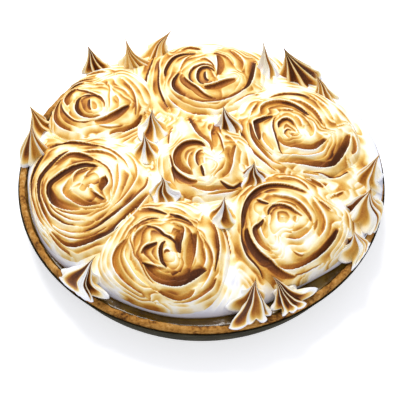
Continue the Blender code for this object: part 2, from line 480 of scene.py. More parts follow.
def smoothLine(points):
    # a curve through the points, as places and shares of its length
    points = [points[0]] + list(points) + [points[-1]]
    line = []
    for before, here, there, after in zip(points, points[1:], points[2:], points[3:]):
        for step in range(ridgeLook["steps"]):
            t = step / ridgeLook["steps"]
            line.append([0.5 * (2 * b + (c - a) * t + (2 * a - 5 * b + 4 * c - d) * t * t
                                + (3 * b - a - 3 * c + d) * t ** 3)
                         for a, b, c, d in zip(before, here, there, after)])
    line.append(list(points[-1]))
    line = numpy.array(line)
    run = numpy.concatenate([[0], numpy.cumsum(numpy.hypot(*numpy.diff(line, axis=0).T))])
    return line, run / run[-1]


def pullRidges(x, y, ridges, loose):
    # toast, whose lowest values the colour ramp paints as lilac shade, and height in millimetres at the places x, y,
    # where loose counts the faint lines of the open parts
    look = ridgeLook
    toastAndShade, groove, crest, halo, crestHighlight = (numpy.zeros_like(x) for _ in range(5))
    weights = numpy.full(x.shape, 0.12)
    count = loose * weights
    for early, late, width, eye, *points in ridges:
        line, shares = smoothLine(points)
        room = width + look["beside"]
        low, high = line.min(axis=0) - room, line.max(axis=0) + room
        near = numpy.nonzero((x > low[0]) & (x < high[0]) & (y > low[1]) & (y < high[1]))
        px, py = x[near], y[near]
        best = numpy.full(px.shape, 1e9)
        right, share = numpy.zeros_like(px), numpy.zeros_like(px)
        for first, second, start, end in zip(line, line[1:], shares, shares[1:]):
            step = second - first
            long = step @ step
            if long == 0:
                continue
            t = numpy.clip(((px - first[0]) * step[0] + (py - first[1]) * step[1]) / long, 0, 1)
            dx, dy = px - first[0] - t * step[0], py - first[1] - t * step[1]
            apart = dx * dx + dy * dy
            closer = apart < best
            best[closer] = apart[closer]
            right[closer] = numpy.where(step[1] * dx - step[0] * dy > 0, 1, -1)[closer]
            share[closer] = (start + t * (end - start))[closer]
        apart = numpy.sqrt(best) * right
        ends = numpy.sin(math.pi * numpy.clip(share, 0.001, 0.999)) ** 0.35
        across = apart / (width * ends)
        inside = (across > 0) & (across < 1)
        held = numpy.where(inside, across, 0)
        tone = look["stronger"] * (early + (late - early) * share) * numpy.clip(ends * 2, 0, 1)
        shade = 1 - look["fade"] * held ** 1.5 + look["scorch"] * numpy.exp(-numpy.abs(apart) / 0.8)
        shade *= numpy.clip((1 - held) / 0.3, 0, 1) * numpy.clip(apart / 0.3, 0, 1)
        toastAndShade[near] = numpy.maximum(toastAndShade[near], numpy.where(inside, tone * shade, 0))
        deep = numpy.minimum(look["depth"] * width * ends, look["deepest"])
        groove[near] = numpy.maximum(groove[near], numpy.where(inside, deep * numpy.sin(math.pi * held ** 0.5), 0))
        rise = ends * numpy.exp(-(apart / numpy.where(apart > 0, 0.6, 1.2)) ** 2)
        crest[near] = numpy.maximum(crest[near], look["crest"] * rise)
        # painted highlight along each crest
        crestHighlight[near] = numpy.maximum(crestHighlight[near], numpy.where(apart < 0.3, rise, 0))
        gap = numpy.where(apart > 0, numpy.maximum(apart - width * ends, 0), -apart)
        halo[near] = numpy.maximum(halo[near], tone * look["halo"] * numpy.exp(-gap / 3))
        outs = numpy.hypot(*(line - eye).T)
        spin = numpy.cross(line[:-1] - eye, numpy.diff(line, axis=0)).sum()
        outward = apart * (1 if spin > 0 else -1)
        pull = numpy.exp(-(gap / look["hold"]) ** 2 / 2)
        weights[near] += pull
        count[near] += pull * (round(outs.mean() / look["echo"]) + outward / look["echo"])
    broad, fine = rippleField(x, y, 13, 3.7), rippleField(x, y, 5, 9.1)
    phase = (count / weights) % 1
    fold = phase ** 1.3 * numpy.clip((1 - phase) / 0.15, 0, 1)
    wash = look["wash"] * (1 + 1.2 * broad + 0.5 * fine) + halo
    wash += look["echoTone"] * fold * numpy.clip(0.55 + 1.3 * broad + 0.3 * fine, 0, 1)
    # the painted crest highlight lifts the wash off the crests, leaving them white
    toastAndShade = numpy.maximum(toastAndShade, numpy.clip(wash * (1 - 0.85 * crestHighlight), 0, 1))
    return toastAndShade, crest - groove - look["echoDepth"] * fold


def clockPoints(eye, ridges):
    # ridges given as (degrees, millimetres from the eye) made places on the pie
    placed = []
    for early, late, width, *points in ridges:
        spots = [(eye[0] + out * math.cos(math.radians(turn)), eye[1] + out * math.sin(math.radians(turn)))
                 for turn, out in points]
        placed.append((early, late, width, eye, *spots))
    return placed


# rosettes: places in millimetres from the middle of the pie, ridges round the eye
swirlLook = {
    "around": 360,
    "along": 104,
    "skirtRows": 8,
    "lift": 1 * mm,
    "drop": 8 * mm,
    "skirt": 9 * mm,
    "bulge": 2.5 * mm,
}

rosettes = [
    {"node": "rosette_left", "middle": (-76, -30), "eye": (-71.6, -30.8), "reach": 46, "ridges": [
        (0.6, 0.6, 8, (32, 14.5), (14, 14.8), (0, 13.8), (-20, 11.5)),
        (0.3, 0.85, 3, (-33, 5), (-36, 10), (-36, 16)),
        (0.6, 0.25, 6.5, (-54, 16), (-77, 14.7), (-98, 13.5), (-126, 12.4), (-153, 13.1), (-177, 14), (-216, 12.4)),
        (0.4, 0.65, 2.2, (155, 8.6), (132, 11.4), (114, 13), (98, 13.8), (84, 14.2)),
        (0.35, 0.5, 2, (92, 7.3), (84, 10), (76, 12.8)),
        (0.35, 0.85, 7.5, (265, 16.4), (248, 17.6), (229, 19.4), (211, 21.9), (198, 23.2), (183, 24.4), (170, 25)),
        (0.95, 0.7, 5.5, (200, 23), (187, 24.3), (174, 24.9), (163, 24.5), (151, 22.1), (134, 20.3), (117, 19.4),
         (96, 18.4), (79, 17.6), (62, 16.8)),
        (0.5, 0.65, 6, (138, 30), (122, 31.4), (113, 32), (104, 29.8), (97, 27.2), (88, 24.5), (77, 21.4)),
        (0.65, 0.35, 1.5, (80, 22), (64, 20.3), (52, 19.6), (40, 19), (22, 18), (0, 17.5), (-18, 18)),
        (0.3, 0.3, 2.5, (42, 26.5), (30, 23.5), (14, 21.5), (-4, 20.3), (-22, 19.8)),
        (0.55, 0.35, 3.2, (95, 29.3), (86, 29.6), (77, 29.8), (66, 29.9), (55, 29.3), (47, 28)),
        (0.35, 0.75, 4, (232, 33), (222, 32), (205, 31.6), (195, 31.7), (186, 32.2), (177, 33)),
        (0.8, 0.85, 4.5, (196, 31.8), (184, 32.4), (166, 34), (155, 34.1), (132, 34), (121, 34.8), (112, 34.5)),
        (0.7, 0.5, 2.6, (262, 26.5), (247, 27), (231, 26.8), (216, 27.3), (187, 28.4), (172, 29.3), (158, 30)),
        (0.35, 0.7, 1.5, (-84, 23.6), (-104, 23.6), (-123, 23.3), (-142, 23.9), (-156, 24)),
        (0.35, 0.6, 1.6, (-66, 19), (-80, 19.9), (-93, 19.9), (-110, 20), (-128, 21), (-142, 22)),
        (0.2, 0.55, 5, (222, 38.5), (212, 39.5), (203, 40.3), (192, 40.9), (183, 42.3), (175, 43.5)),
        (0.6, 0.9, 5, (184, 42.5), (168, 44.3), (160, 44.8), (144, 45), (136, 46.5), (130, 49.5)),
        (0.6, 0.6, 4.2, (125, 50), (118, 49), (111, 46.3), (104, 42.5), (95, 38.8), (87, 36), (78, 34.6)),
        (0.6, 0.3, 1.8, (86, 36), (75, 34.3), (65, 33.3), (52, 32), (40, 31.3), (28, 30)),
        (0.25, 0.5, 2.2, (50, 36.5), (38, 36.3), (26, 35), (15, 33), (4, 30), (-10, 27), (-25, 25), (-38, 23.5)),
        (0.2, 0.15, 3, (-42, 25.5), (-55, 25.5), (-68, 26)),
        (0.5, 0.75, 2.8, (14, 40), (3, 38), (-8, 33.8), (-22, 30.5), (-40, 28), (-58, 28), (-74, 29.3), (-88, 30.3)),
        (0.5, 0.3, 1.4, (-90, 30.5), (-103, 30.8), (-117, 31), (-130, 31.5)),
        (0.5, 0.85, 4.5, (-4, 40), (-14, 37.4), (-28, 35.6), (-44, 34.8), (-58, 35.3), (-70, 36)),
        (0.8, 0.5, 4.5, (-50, 35), (-62, 35.5), (-74, 36.2), (-88, 37.8), (-100, 39.6), (-111, 39.3), (-128, 36.5)),
        (0.65, 0.35, 1.8, (-60, 31.5), (-74, 32.7), (-88, 34), (-103, 34.3), (-117, 33.8), (-130, 33)),
        (0.5, 0.45, 4, (258, 44.5), (247, 43.5), (239, 41.5), (230, 39)),
    ]},
    {"node": "rosette_front", "middle": (-22, -77), "eye": (-20.1, -78.5), "reach": 40, "ridges": [
        (0.5, 0.5, 2.6, (200, 2.2), (140, 2), (80, 2), (20, 2.2)),
        (0.9, 0.85, 3.2, (268, 9.7), (241, 7.2), (210, 5.4), (180, 5), (150, 5.6), (120, 7), (98, 7.8)),
        (0.55, 0.8, 4, (180, 15.6), (166, 14.5), (152, 12.3), (130, 9)),
        (0.3, 0.5, 5.5, (238, 31.5), (220, 30.5), (205, 31), (192, 32), (180, 32.5), (167, 30.7), (154, 27)),
        (0.2, 0.15, 6.5, (244, 23), (220, 22), (194, 23), (178, 25), (163, 25)),
        (0.5, 0.55, 1.4, (249, 20.7), (228, 18), (198, 17), (182, 19.5), (169, 21), (158, 24), (150, 25.5)),
        (0.3, 0.45, 6, (167, 20), (154, 22.5), (142, 23.5), (126, 23.3)),
        (0.6, 0.85, 2.2, (126, 23.4), (116, 19.7), (107, 16), (97, 12.3), (75, 10), (50, 8.6), (28, 7.6)),
        (0.3, 0.9, 6, (78, 19.5), (60, 19.5), (47, 14), (35, 10.5), (15, 8.8), (355, 8.2)),
        (0.6, 0.42, 7.5, (37, 22), (21, 18.6), (2, 16.8), (-17, 16.3), (-36, 17)),
        (0.25, 0.25, 3.5, (10, 22.5), (-8, 23), (-22, 22.5)),
        (0.4, 0.45, 1.4, (33, 23.5), (16, 25), (3, 26.5), (-8, 27.3), (-20, 27)),
        (0.5, 0.8, 2, (42, 36), (30, 34), (16, 32), (6, 31), (-7, 30), (-20, 30)),
        (0.5, 0.8, 3, (117, 37), (108, 34), (99, 30), (90, 26.5)),
        (0.8, 0.6, 2.6, (88, 27), (80, 26.5), (71, 26), (61, 25.5), (51, 24.5)),
        (0.15, 0.35, 2.5, (95, 33), (87, 32.5), (77, 31.5), (67, 29.5)),
        (0.3, 0.75, 2.2, (158, 27.5), (145, 28), (133, 27.5), (122, 27), (112, 26.2), (102, 24.3)),
        (0.85, 0.45, 9, (-22, 25.5), (-43, 22.7), (-63, 21.8), (-77, 21), (-92, 19.7), (-114, 18.2), (-138, 16),
         (-155, 15)),
        (0.9, 0.3, 2.5, (199, 15.4), (214, 12), (245, 9.6), (270, 9.8)),
        (0.4, 0.55, 6.5, (-52, 27), (-61, 29.5), (-71, 30.5), (-80, 30.8), (-91, 28), (-104, 24.5)),
        (0.6, 0.25, 3.5, (-24, 32), (-35, 32.8), (-47, 32.3), (-59, 32.8), (-72, 33.5), (-85, 33)),
        (0.3, 0.2, 1.5, (-10, 27.5), (-22, 27.5), (-34, 27.8), (-46, 28.3)),
    ]},
    {"node": "rosette_front_right", "middle": (55, -55), "eye": (47.5, -54.5), "reach": 40, "ridges": [
        (0.75, 0.5, 3, (172, 8.2), (150, 9.2), (125, 9.8), (100, 9.6), (80, 9.3), (55, 9.6), (35, 10), (8, 13.5)),
        (0.35, 0.8, 4.5, (253, 23), (241, 22.4), (227, 21.5), (210, 19.9), (200, 18.1), (195, 14.5), (185, 10.7)),
        (0.7, 0.9, 1.9, (252, 38), (247, 34.7), (239, 32.6), (228, 31.2), (217, 29.1), (205, 26.8), (191, 24.4)),
        (0.85, 0.55, 5.2, (196, 25), (175, 23.9), (162, 24.1), (149, 24.8), (135, 25.5), (120, 26.3), (106, 26.4),
         (91, 25.9), (76, 25.7), (62, 25.9), (49, 26.5)),
        (0.9, 0.5, 6.3, (195, 20.7), (211, 21.8), (226, 23.1), (241, 24.8), (254, 26.4), (263, 29.2), (271, 32),
         (279, 34.7), (287, 38)),
        (0.9, 0.4, 6.5, (-5, 35.8), (-17, 34.8), (-30, 33.7), (-42, 33.3), (-57, 32.7), (-72, 32.6), (-86, 31.7),
         (-97, 29.5)),
        (0.3, 0.5, 3.5, (-46, 41), (-57, 40.2), (-67, 39.4), (-77, 37)),
        (0.6, 0.75, 2, (175, 40), (187, 38.6), (199, 39.1), (207, 43)),
        (0.5, 0.7, 1.8, (180, 35), (192, 33), (203, 33.8), (215, 36.2)),
        (0.7, 0.9, 2.2, (206, 35.2), (213, 39.6), (217, 43.4)),
        (0.4, 0.55, 6, (64, 40.5), (57, 40.5), (50, 41), (44, 40)),
        (0.35, 0.5, 2.2, (88, 32.5), (78, 33), (68, 33), (58, 31.5), (50, 29.5)),
        (0.35, 0.35, 6, (33, 25.5), (20, 25.8), (8, 26.8), (-3, 27.2), (-14, 26.5), (-26, 25)),
        (0.5, 0.6, 2, (32, 28.3), (25, 30.4), (17, 32.8)),
        (0.3, 0.6, 2.6, (31, 36.5), (34, 43.3), (34, 50)),
        (0.6, 0.8, 2.4, (136, 19.6), (132, 15.8), (125, 11.7)),
        (0.35, 0.55, 4, (105, 17.5), (90, 15.8), (72, 16), (55, 16.5), (38, 16.8), (22, 17.4), (8, 18.4), (-5, 19)),
        (0.35, 0.3, 3, (10, 9.5), (-5, 9.3), (-18, 9)),
        (0.35, 0.2, 6, (-20, 18.5), (-32, 18), (-48, 17.2), (-62, 16), (-75, 14)),
        (0.5, 0.5, 1.5, (287, 21.6), (294, 24.8), (300, 25.7)),
        (0.25, 0.15, 5, (235, 17), (222, 15.5), (208, 14), (195, 12.5)),
    ]},
    {"node": "rosette_right", "middle": (62, 20), "eye": (54.9, 12.1), "reach": 43, "ridges": [
        (0.75, 0.6, 3, (163, 6), (145, 7.5), (128, 8.7), (105, 10), (86, 10.6), (64, 9.3), (40, 7)),
        (0.6, 0.5, 1.6, (235, 4.2), (205, 2), (70, 1), (0, 2.8)),
        (0.75, 0.6, 2, (258, 19.2), (250, 17), (234, 12.4), (218, 10.4), (201, 9.3), (181, 9.4), (161, 10.1),
         (135, 12.3), (119, 13.7)),
        (0.25, 0.3, 5, (238, 18.5), (225, 18), (212, 17.7), (198, 17.2), (184, 15.8)),
        (0.6, 0.95, 4.8, (203, 20), (192, 20), (180, 20.7), (168, 21.9), (159, 22.9), (149, 20.2), (137, 17.6),
         (124, 15)),
        (0.3, 0.55, 6.5, (138, 22), (130, 26), (122, 28), (112, 28.7), (99, 28.8), (88, 27.4), (76, 25.9), (66, 24.3)),
        (0.6, 0.95, 4, (95, 28.2), (86, 27.2), (76, 25.8), (66, 24.3), (56, 22.9), (44, 22)),
        (0.5, 0.5, 1.4, (95, 18.8), (84, 18.6), (73, 18.5)),
        (0.35, 0.55, 4, (84, 30.5), (76, 30.8), (64, 30.5), (48, 29), (33, 27.2), (18, 26)),
        (0.15, 0.22, 6.5, (34, 18.5), (24, 19.2), (10, 18.4), (-6, 17.2), (-14, 15.5)),
        (0.25, 0.4, 1.8, (66, 14.8), (54, 13.8), (42, 12.7), (22, 11)),
        (0.65, 0.4, 6.5, (-8, 26.3), (-21, 23.8), (-37, 21.8), (-52, 18.4), (-71, 14.6), (-99, 12.9), (-121, 11),
         (-145, 8)),
        (0.35, 0.35, 1.6, (-14, 26.8), (-31, 26.3), (-51, 22.8), (-70, 19.7), (-100, 18.6), (-112, 19)),
        (0.3, 0.7, 3, (-100, 26), (-112, 25.5), (-122, 24.6), (-136, 23.3), (-154, 23.2), (-172, 23.8), (-199, 25.8)),
        (0.55, 0.7, 1.3, (-118, 21.8), (-132, 21), (-148, 20.9), (-166, 21.7), (-182, 22.6), (-196, 24)),
        (0.55, 0.98, 6.5, (8, 43.5), (-4, 41), (-14, 39.2), (-24, 38), (-34, 37), (-42, 35)),
        (0.85, 0.3, 6.5, (-26, 37.8), (-36, 36.8), (-44, 34.5), (-52, 31.8), (-63, 28.3), (-76, 25.2), (-92, 24),
         (-108, 24.5)),
        (0.4, 0.55, 4.5, (8, 46), (0, 47), (-7, 46.5), (-13, 44)),
        (0.4, 0.75, 2.6, (-105, 30.5), (-112, 29.6), (-125, 27.9), (-139, 27.6), (-154, 28.2), (-170, 29.3),
         (-183, 30.2), (-194, 31)),
        (0.3, 0.5, 2, (150, 27), (138, 29), (128, 31)),
        (0.45, 0.7, 3, (108, 33), (102, 34.5), (95, 36), (87, 37.6), (79, 38.5), (71, 39.3), (62, 39.5)),
        (0.3, 0.55, 3, (142, 45.5), (133, 45.5), (126, 45.5), (119, 43.5), (114, 40)),
        (0.25, 0.2, 4, (62, 42), (50, 40), (38, 38), (28, 36)),
        (0.85, 0.5, 1.8, (-30, 45.3), (-36, 44.4), (-42, 43), (-48, 40), (-55, 35.5), (-63, 32)),
        (0.3, 0.35, 3.5, (-58, 35.5), (-66, 33), (-74, 31)),
        (0.5, 0.45, 4.5, (-54, 42), (-60, 43), (-66, 42.5), (-74, 38)),
    ]},
    {"node": "rosette_back", "middle": (4.5, 70), "eye": (3.1, 60.4), "reach": 41, "ridges": [
        (0.9, 0.9, 2.4, (90, 4.5), (85, 1), (283, 2.8), (300, 4.6)),
        (0.95, 0.7, 3, (263, 8.3), (238, 8.3), (208, 7.2), (180, 6.6), (155, 7), (130, 8.3), (110, 9.6), (90, 10),
         (70, 9.8), (50, 8.8), (35, 7.5)),
        (0.75, 0.55, 2.6, (215, 10), (197, 11.5), (177, 12), (158, 12.3), (137, 12.7), (117, 13.1), (99, 13.4),
         (81, 12.8), (62, 11.3), (45, 9.4)),
        (0.35, 0.65, 2.2, (104, 18.6), (94, 20), (84, 18.1), (72, 14.8), (56, 11.3)),
        (0.5, 0.6, 6.5, (11, 7.1), (44, 10.5), (61, 16), (71, 22.6), (74, 26)),
        (0.6, 0.35, 3.4, (79, 27.8), (69, 28.2), (59, 27.5), (50, 26), (38, 23.8)),
        (0.6, 0.5, 7, (260, 9.2), (293, 8.4), (326, 9.6), (350, 13.5), (360, 20)),
        (0.55, 0.35, 6, (176, 14.7), (189, 13.2), (210, 11.5), (237, 11.1), (255, 13.1), (270, 16), (286, 19.1)),
        (0.65, 0.6, 1.2, (176, 14.7), (189, 13.2), (210, 11.5), (237, 11.1), (255, 13.1), (270, 16), (286, 19.1)),
        (0.65, 0.9, 3.6, (231, 22.3), (217, 23.5), (204, 24.2), (193, 23.9), (183, 22.7), (174, 20.8), (164, 19.4)),
        (0.8, 0.85, 3.8, (173, 28.5), (163, 30.1), (152, 31.3), (141, 32.7), (131, 33.6), (121, 32), (112, 29),
         (104, 27.5)),
        (0.35, 0.5, 2, (162, 19), (143, 20.9), (126, 23.9), (112, 26.3)),
        (0.45, 0.6, 4, (118, 37.9), (111, 39.9), (105, 38.6), (99, 34.7), (96, 32.5)),
        (0.45, 0.2, 5, (60, 38), (52, 36), (44, 34.5), (36, 32.5), (28, 29.5), (20, 26.5)),
        (0.85, 0.75, 4, (32, 41.6), (22, 36.8), (12, 33.8), (4, 32.1), (-9, 30), (-20, 27.6)),
        (0.6, 0.5, 3, (-12, 29.5), (-29, 26), (-43, 24.5), (-59, 23.3), (-76, 22.6), (-92, 22.3), (-107, 22.4),
         (-123, 22.2)),
        (0.6, 0.25, 1.8, (-17, 36.2), (-24, 32.1), (-36, 29.6), (-53, 28.5)),
        (0.35, 0.2, 5.5, (-88, 30.3), (-100, 30.5), (-112, 30.5), (-124, 30.2), (-138, 30), (-152, 29.5)),
        (0.55, 0.85, 2, (136, 43.6), (148, 38), (162, 33.2), (176, 31.7), (192, 31.4), (209, 31.9), (225, 33.9)),
        (0.7, 0.75, 2.2, (133, 52.8), (148, 44.6), (166, 41.2), (179, 41), (189, 42.9), (199, 43), (209, 43)),
        (0.45, 0.45, 1.6, (248, 35.6), (255, 36), (262, 35)),
    ]},
    {"node": "rosette_back_left", "middle": (-70.5, 47.5), "eye": (-72.3, 36), "reach": 38, "ridges": [
        (0.85, 0.5, 3, (102, 6.8), (107, 3.7), (180, 0.8), (272, 3.3)),
        (0.45, 0.85, 4.2, (308, 10.9), (281, 10.5), (251, 10.1), (220, 10.4), (190, 11.2), (167, 12), (145, 13),
         (128, 13)),
        (0.8, 0.5, 1.8, (135, 13), (118, 12), (100, 10.8), (75, 10.2), (45, 9.3), (10, 9), (-15, 9)),
        (0.65, 0.55, 2.4, (122, 23.7), (117, 19.4), (105, 15.2), (87, 11.7), (54, 9.1), (14, 8.6)),
        (0.5, 0.6, 6.5, (167, 17.8), (154, 22.9), (143, 25.7), (132, 26), (122, 23.7)),
        (0.85, 0.5, 1.6, (156, 25), (169, 21), (184, 18), (205, 15.5), (225, 14.1), (251, 12.3), (280, 11.8)),
        (0.4, 0.65, 7, (280, 11.8), (306, 12.4), (325, 13.9), (345, 17.2), (357, 20.7), (363, 24.7)),
        (0.5, 0.65, 4.5, (233, 21.2), (218, 23), (203, 24.9), (188, 26.9), (175, 28.3), (162, 29.5), (148, 30.5)),
        (0.75, 0.95, 4.2, (170, 33.5), (163, 35.8), (153, 37.9), (143, 38.5), (134, 37.5)),
        (0.6, 0.5, 3.4, (136, 37.5), (122, 35.3), (112, 33.2), (101, 30.6), (91, 28.7)),
        (0.75, 0.5, 3, (131, 30.2), (121, 29.3), (112, 28.1), (106, 26.4)),
        (0.6, 0.4, 4, (153, 45), (158, 39.5), (165, 34.5), (176, 30.1)),
        (0.7, 0.4, 2, (166, 45.4), (173, 39.6), (182, 34.7), (194, 30.9)),
        (0.35, 0.65, 2, (56, 32.5), (45, 31.1), (30, 30.2), (16, 29.8), (0, 29.8), (-14, 30.5)),
        (0.65, 0.45, 4.5, (-9, 34.4), (-18, 34), (-28, 33.3), (-38, 30.4), (-48, 27.2), (-60, 25.4)),
        (0.45, 0.3, 2, (53, 22.4), (43, 23.8), (32, 25.2), (21, 25.7)),
        (0.3, 0.3, 2, (66, 23.4), (53, 19.2), (37, 14.6), (9, 12.5), (-15, 12.5)),
        (0.3, 0.3, 3, (88, 22), (78, 22), (70, 21)),
        (0.3, 0.3, 3.5, (30, 18), (15, 18.5), (5, 18)),
        (0.35, 0.35, 5.5, (104, 40.5), (95, 40.5), (86, 40), (80, 38)),
        (0.35, 0.35, 1.5, (289, 16.5), (307, 20.9), (322, 24.7)),
    ]},
    {"node": "rosette_middle", "middle": (3, -8), "eye": (3.4, -14.9), "reach": 33, "ridges": [
        (0.2, 0.2, 3, (130, 3), (180, 2), (230, 3)),
        (0.85, 0.85, 2.4, (225, 4.5), (256, 7.5), (263, 11)),
        (0.7, 0.5, 2.6, (219, 7), (200, 7), (180, 7.2), (150, 8.2), (126, 9), (106, 8.8)),
        (0.4, 0.25, 1.8, (218, 11.9), (196, 11.8), (177, 11.9), (157, 11.9), (140, 11.4)),
        (0.5, 0.65, 7, (229, 13.2), (214, 15.3), (197, 18.1), (182, 20.4), (166, 22), (151, 22.5), (135, 21.7),
         (121, 19.4), (109, 16.8), (99, 14), (92, 11)),
        (0.5, 0.75, 1.8, (214, 24), (201, 22.8), (185, 22.2), (172, 23.3), (163, 24.8)),
        (0.8, 0.45, 4.5, (184, 21), (199, 19.1), (215, 17.2), (231, 15.9), (248, 14.4)),
        (0.7, 0.85, 2.4, (302, 15.3), (309, 19.2), (316, 22.4), (330, 23.9)),
        (0.5, 0.35, 4.5, (-45, 24.5), (-60, 21.5), (-75, 20.3), (-90, 20), (-105, 19.5), (-120, 19.5)),
        (0.5, 0.3, 2, (-40, 26), (-52, 24.5), (-65, 22.8), (-78, 22.3), (-90, 22)),
        (0.55, 0.3, 4, (38, 24), (26, 19.7), (11, 17), (-7, 16.1), (-28, 15.8), (-49, 15.1)),
        (0.45, 0.7, 4.5, (70, 7.8), (84, 12.7), (96, 16.7), (105, 22), (107, 29.3), (106, 37.5), (106, 45.5)),
        (0.3, 0.55, 6, (67, 10.9), (80, 16.9), (84, 23.5), (83, 30.2), (83, 34.9)),
        (0.5, 0.6, 1.6, (78, 27.9), (67, 21.8), (51, 16.3), (34, 13.1)),
        (0.45, 0.3, 4, (62, 25), (54, 25.5), (46, 24.5)),
        (0.45, 0.6, 2, (121, 41), (129, 36.8), (138, 31.8), (145, 29.2)),
        (0.4, 0.4, 2, (211, 27), (221, 27.2), (234, 26.5)),
    ]},
]


def edgeFrom(spec, turn):
    # from the eye to the swirl's outline, which is round its middle
    dx, dy = spec["eye"][0] - spec["middle"][0], spec["eye"][1] - spec["middle"][1]
    along = dx * numpy.cos(turn) + dy * numpy.sin(turn)
    return numpy.sqrt(along ** 2 + spec["reach"] ** 2 - dx * dx - dy * dy) - along


def pipeRosette(spec):
    look = swirlLook
    around, along, skirtRows = look["around"], look["along"], look["skirtRows"]
    rows = along + skirtRows + 1
    turn = numpy.arange(around) / around * 2 * math.pi
    edge = edgeFrom(spec, turn)
    share = numpy.minimum(numpy.arange(rows + 1) / along, 1)[:, None]
    out = share * edge
    x = spec["eye"][0] + out * numpy.cos(turn)
    y = spec["eye"][1] + out * numpy.sin(turn)
    loose = (out + 4 * ripple(spec["eye"][0], 0.5)) / ridgeLook["echo"] + turn / (2 * math.pi)
    toastAndShade, rise = pullRidges(x, y, clockPoints(spec["eye"], spec["ridges"]), loose)
    far = numpy.hypot(x - spec["middle"][0], y - spec["middle"][1]) / spec["reach"]
    height = rimLevel + domeHeight - domeFall * (x * x + y * y) * mm * mm + look["lift"]
    height += rise * mm - look["drop"] * far ** 2.5
    height -= 2.5 * mm * numpy.clip((share - 0.9) / 0.1, 0, 1) ** 2

    def place(column, row):
        point = Vector((x[row, column] * mm, y[row, column] * mm, height[row, column]))
        if row > along:
            down = (row - along) / (skirtRows + 1)
            angle = turn[column]
            bulge = look["bulge"] * math.sin(math.pi * min(down * 0.8, 1))
            point.x += bulge * math.cos(angle)
            point.y += bulge * math.sin(angle)
            point.z -= look["skirt"] * down ** 1.2
        if row == rows:
            point = Vector((spec["eye"][0] * mm, spec["eye"][1] * mm, 0))
            point.z = swell(point.x, point.y) - 20 * mm
            return point, (0,)
        # inside the outline a small toast floor keeps the top white; past it the toast falls away, so the skirt can
        # fall into the ramp's painted lilac shade
        clearOfSkirtShade = 0.05 * smooth(1.02, 0.86, far[row, column])
        return heldIn(point), (max(float(toastAndShade[row, column]), clearOfSkirtShade),)

    bm = wrapGrid(around, rows, place)
    return finishPiece("piped_" + spec["node"], bm, meringue, [spec["node"]])


for spec in rosettes:
    pipeRosette(spec)
print("Rosettes piped")

# the bed that shows between the swirls, dragged into low ridges round each of them
bedLook = {
    "cells": 300,
    "below": 7.5 * mm,
    "shoulder": 0.86,
    "lapShoulder": 0.76,
}


def spreadBed():
    look = bedLook
    bm = bmesh.new()
    bmesh.ops.create_grid(bm, x_segments=look["cells"], y_segments=look["cells"], size=1)
    store = bm.verts.layers.float.new("toastAndShade")
    shares = []
    for vert in bm.verts:
        u, v = vert.co.x, vert.co.y
        far = max(abs(u), abs(v))
        if far == 0:
            angle = 0
        elif abs(u) > abs(v):
            angle = math.pi / 4 * v / u + (math.pi if u < 0 else 0)
        else:
            angle = math.pi / 2 - math.pi / 4 * u / v + (math.pi if v < 0 else 0)
        shares.append(1 - (1 - far) ** 1.35)
        away = shares[-1] * (shore(angle) - 0.3 * mm)
        vert.co = (away * math.cos(angle), away * math.sin(angle), 0)
    x = numpy.array([vert.co.x for vert in bm.verts]) / mm
    y = numpy.array([vert.co.y for vert in bm.verts]) / mm
    edges = [numpy.hypot(x - spec["middle"][0], y - spec["middle"][1]) - spec["reach"] for spec in rosettes]
    ridges = [ridge for spec in rosettes for ridge in clockPoints(spec["eye"], spec["ridges"])]
    toastAndShade, rise = pullRidges(x, y, ridges, 9 + numpy.min(edges, axis=0) / ridgeLook["echo"])
    for vert, share, tone, up in zip(bm.verts, shares, toastAndShade, rise):
        px, py = vert.co.x, vert.co.y
        top = swell(px, py) - look["below"] + up * mm + 1.2 * mm * ripple(px / mm / 11, py / mm / 11, 4.1)
        lapped = swelled(math.atan2(py, px), *shoreLook["swells"][1][:2])
        foot = mix(ground(math.hypot(px, py)), ground(shoreLook["crustInside"] * 1.1), lapped)
        shoulder = mix(look["shoulder"], look["lapShoulder"], lapped)
        if share > shoulder:
            slump = (share - shoulder) / (1 - shoulder)
            top = foot + (top - foot) * max(1 - slump ** mix(2.2, 1.1, lapped), 0) ** mix(0.5, 0.9, lapped)
        vert.co.z = max(top, foot)
        # the toast fades to nothing down the outer slope, where the ramp paints lilac shade
        vert[store] = tone * smooth(1, 0.9, share)
    border = [edge for edge in bm.edges if edge.is_boundary]
    bmesh.ops.contextual_create(bm, geom=border)
    bmesh.ops.recalc_face_normals(bm, faces=bm.faces[:])
    return finishPiece("spread_meringue", bm, meringue, ["meringue_bed"])


spreadBed()
print("Bed spread")

# kisses: ridges are (degrees, reach in millimetres, toast of the hollow before the next one); the
# middle and the tip are the node's own
kissLook = {
    "perTooth": 12,
    "rows": 56,
    "pull": 2.1,
    "wiggle": 34,       # degrees, to and fro on the way up
    "hollow": 0.5,
    "tone": 0.78,
    "belly": 0.13,      # share of the height that the rounded foot takes
    "below": 9.5 * mm,
    "hang": 119.7 * mm,
}

